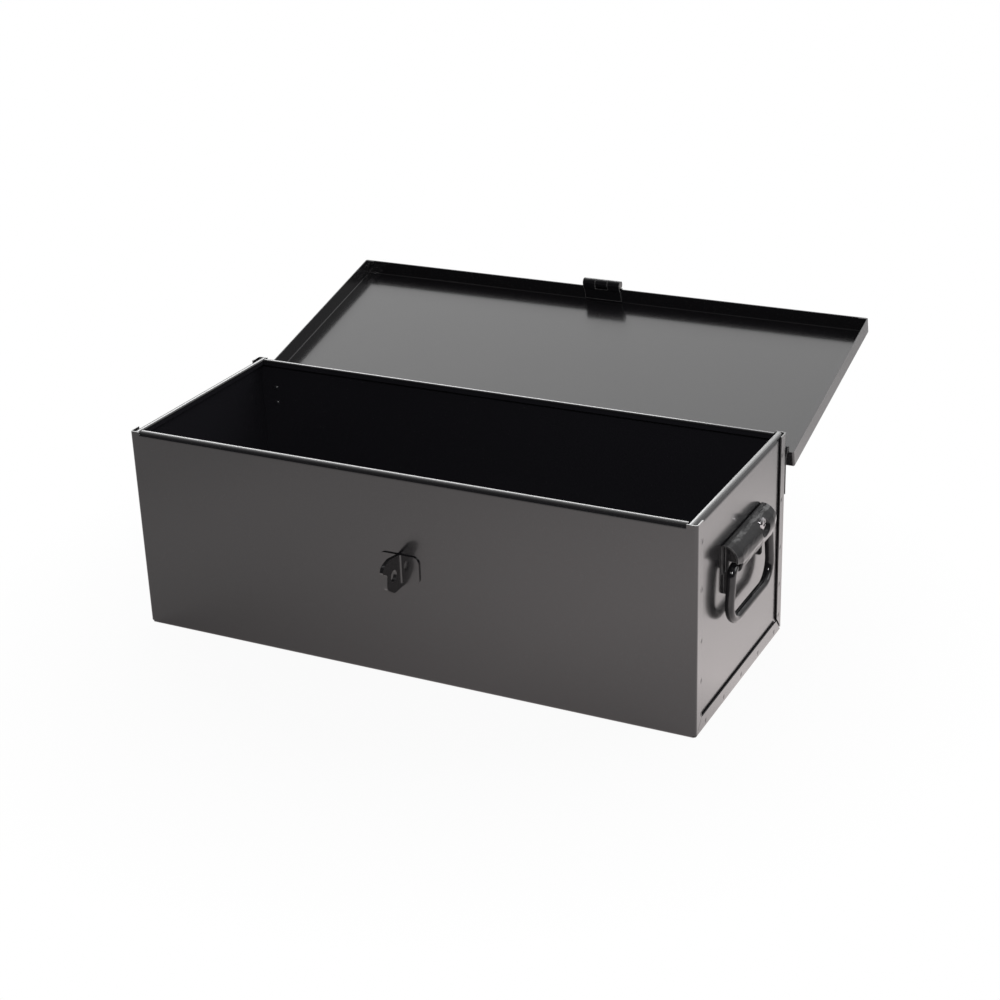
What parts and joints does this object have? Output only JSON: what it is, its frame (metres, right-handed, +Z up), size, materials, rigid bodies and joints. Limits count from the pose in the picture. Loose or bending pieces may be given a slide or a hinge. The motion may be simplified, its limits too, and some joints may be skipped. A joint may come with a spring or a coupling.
{
  "type": "portable toolbox",
  "caption": "Long sheet-steel toolbox with a shallow lid on rear hinges, a slotted hasp over a padlock staple and a drop handle on each end, stored open.",
  "frame": {"origin": "middle of the body's flat underside", "axes": "+X along the width to the box's right-hand end as its user sees it, -Y out of the front with the padlock staple, +Z up"},
  "size_m": [0.6318, 0.5314, 0.2605],
  "materials": {
    "sheet_enamel": "semi-gloss black stoving enamel",
    "fitting_enamel": "gloss black enamel",
    "bail_enamel": "gloss black enamel",
    "pin_steel": "thinly enamelled steel",
    "zinc_hardware": "bright zinc plate"
  },
  "bodies": {
    "body": {"body_wrap": "sheet_enamel", "end_panel_left": "sheet_enamel", "end_panel_right": "sheet_enamel", "hinge_body_leaf_left": "fitting_enamel", "hinge_body_leaf_right": "fitting_enamel", "hinge_body_rivets_left": "fitting_enamel", "hinge_body_rivets_right": "fitting_enamel", "hinge_pin_left": "pin_steel", "hinge_pin_right": "pin_steel", "staple_left": "fitting_enamel", "staple_right": "fitting_enamel", "handle_bracket_left": "fitting_enamel", "handle_bracket_right": "fitting_enamel", "handle_screw_left": "zinc_hardware", "handle_screw_right": "zinc_hardware", "handle_washer_left": "zinc_hardware", "handle_washer_right": "zinc_hardware", "handle_nut_left": "zinc_hardware", "handle_nut_right": "zinc_hardware"},
    "lid": {"lid_panel": "sheet_enamel", "hinge_lid_leaf_left": "fitting_enamel", "hinge_lid_leaf_right": "fitting_enamel", "hinge_lid_rivets_left": "fitting_enamel", "hinge_lid_rivets_right": "fitting_enamel", "hasp_fixed_leaf": "fitting_enamel", "hasp_pin": "pin_steel"},
    "hasp_leaf": {"hasp_slotted_leaf": "fitting_enamel"},
    "bail_left": {"handle_bail_left": "bail_enamel"},
    "bail_right": {"handle_bail_right": "bail_enamel"}
  },
  "joints": [
    {"name": "lid_hinge", "type": "hinge", "parent": "body", "child": "lid", "pos_m": [0, 0.1243, 0.1926], "axis": [1, 0, 0], "range_deg": [0, 165.4]},
    {"name": "hasp_hinge", "type": "hinge", "parent": "lid", "child": "hasp_leaf", "pos_m": [0, 0.3639, 0.25584], "axis": [1, 0, 0], "range_deg": [0, 188]},
    {"name": "bail_left_pivot", "type": "hinge", "parent": "body", "child": "bail_left", "pos_m": [-0.3075, 0, 0.14254], "axis": [0, 1, 0], "range_deg": [0, 90]},
    {"name": "bail_right_pivot", "type": "hinge", "parent": "body", "child": "bail_right", "pos_m": [0.3075, 0, 0.14254], "axis": [0, -1, 0], "range_deg": [0, 90]}
  ]
}
